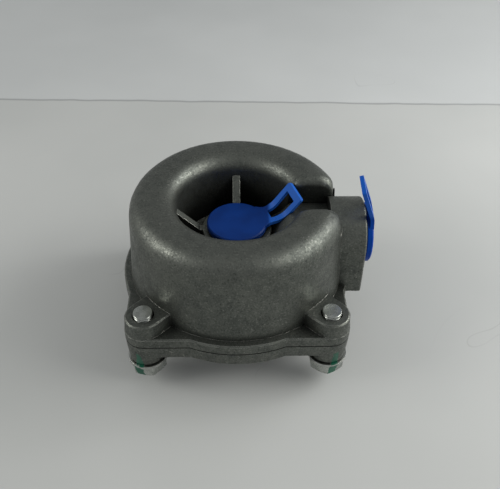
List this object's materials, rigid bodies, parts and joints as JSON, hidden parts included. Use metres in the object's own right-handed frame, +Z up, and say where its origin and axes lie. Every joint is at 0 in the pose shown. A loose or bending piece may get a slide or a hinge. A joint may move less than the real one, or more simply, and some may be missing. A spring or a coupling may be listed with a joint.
{
  "type": "automatic drain valve",
  "caption": "Cast float drain valve: doughnut-shaped float chamber round a central outlet, side inlet, bolted cover, push-in port plugs",
  "frame": {"origin": "middle of the flat stand face under the cover's hub, on the valve's axis", "axes": "+Z up along the valve's axis towards the outlet port, +X towards the inlet port"},
  "size_m": [0.1036, 0.0968, 0.0771],
  "materials": {
    "cast_aluminium": "die-cast, matt",
    "zinc_steel": "bright zinc plate",
    "stainless_sheet": "plain",
    "brass": "machined",
    "blue_plastic": "moulded polyethylene",
    "float_plastic": "moulded",
    "black_rubber": "plain"
  },
  "bodies": {
    "casing": {"body": "cast_aluminium", "cover": "cast_aluminium", "body_seal": "black_rubber", "seat_ring": "stainless_sheet", "stem_guide": "brass", "guide_seal": "black_rubber", "guide_snap_ring": "stainless_sheet", "piston_spring": "stainless_sheet", "lever_bracket": "stainless_sheet", "bracket_screw_1": "stainless_sheet", "bracket_screw_2": "stainless_sheet", "pivot_pin": "stainless_sheet", "pilot_nozzle": "brass", "cover_bolt_1": "zinc_steel", "cover_bolt_2": "zinc_steel", "cover_bolt_3": "zinc_steel", "cover_bolt_4": "zinc_steel", "bolt_washer_1": "zinc_steel", "bolt_washer_2": "zinc_steel", "bolt_washer_3": "zinc_steel", "bolt_washer_4": "zinc_steel"},
    "main_valve": {"main_piston": "brass", "piston_seal": "black_rubber", "disc_holder": "brass", "valve_disc": "black_rubber", "disc_screw": "stainless_sheet"},
    "float_arm": {"float": "float_plastic", "float_lever": "stainless_sheet", "float_screw_1": "stainless_sheet", "float_screw_2": "stainless_sheet"},
    "needle": {"pilot_needle": "stainless_sheet"},
    "inlet_cap": {"inlet_plug": "blue_plastic"},
    "outlet_cap": {"outlet_plug": "blue_plastic"}
  },
  "joints": [
    {"name": "main_valve_stroke", "type": "slide", "parent": "casing", "child": "main_valve", "axis": [0, 0, 1], "range_m": [-0.003, 0], "stiffness_N_per_m": 400, "springref_m": 0.008, "deforming": ["piston_spring"]},
    {"name": "float_swing", "type": "hinge", "parent": "casing", "child": "float_arm", "pos_m": [0.03319, 0, 0.0269], "axis": [0, 1, 0], "range_deg": [0, 6]},
    {"name": "needle_lift", "type": "slide", "parent": "casing", "child": "needle", "axis": [0, 0, 1], "range_m": [0, 0.00066]},
    {"name": "inlet_plug_pull", "type": "slide", "parent": "casing", "child": "inlet_cap", "axis": [1, 0, 0], "range_m": [0, 0.014]},
    {"name": "outlet_plug_pull", "type": "slide", "parent": "casing", "child": "outlet_cap", "axis": [0, 0, 1], "range_m": [0, 0.02]}
  ],
  "couplings": [
    {"joint": "needle_lift", "follows": "float_swing", "m_per_rad": 0.0062}
  ]
}
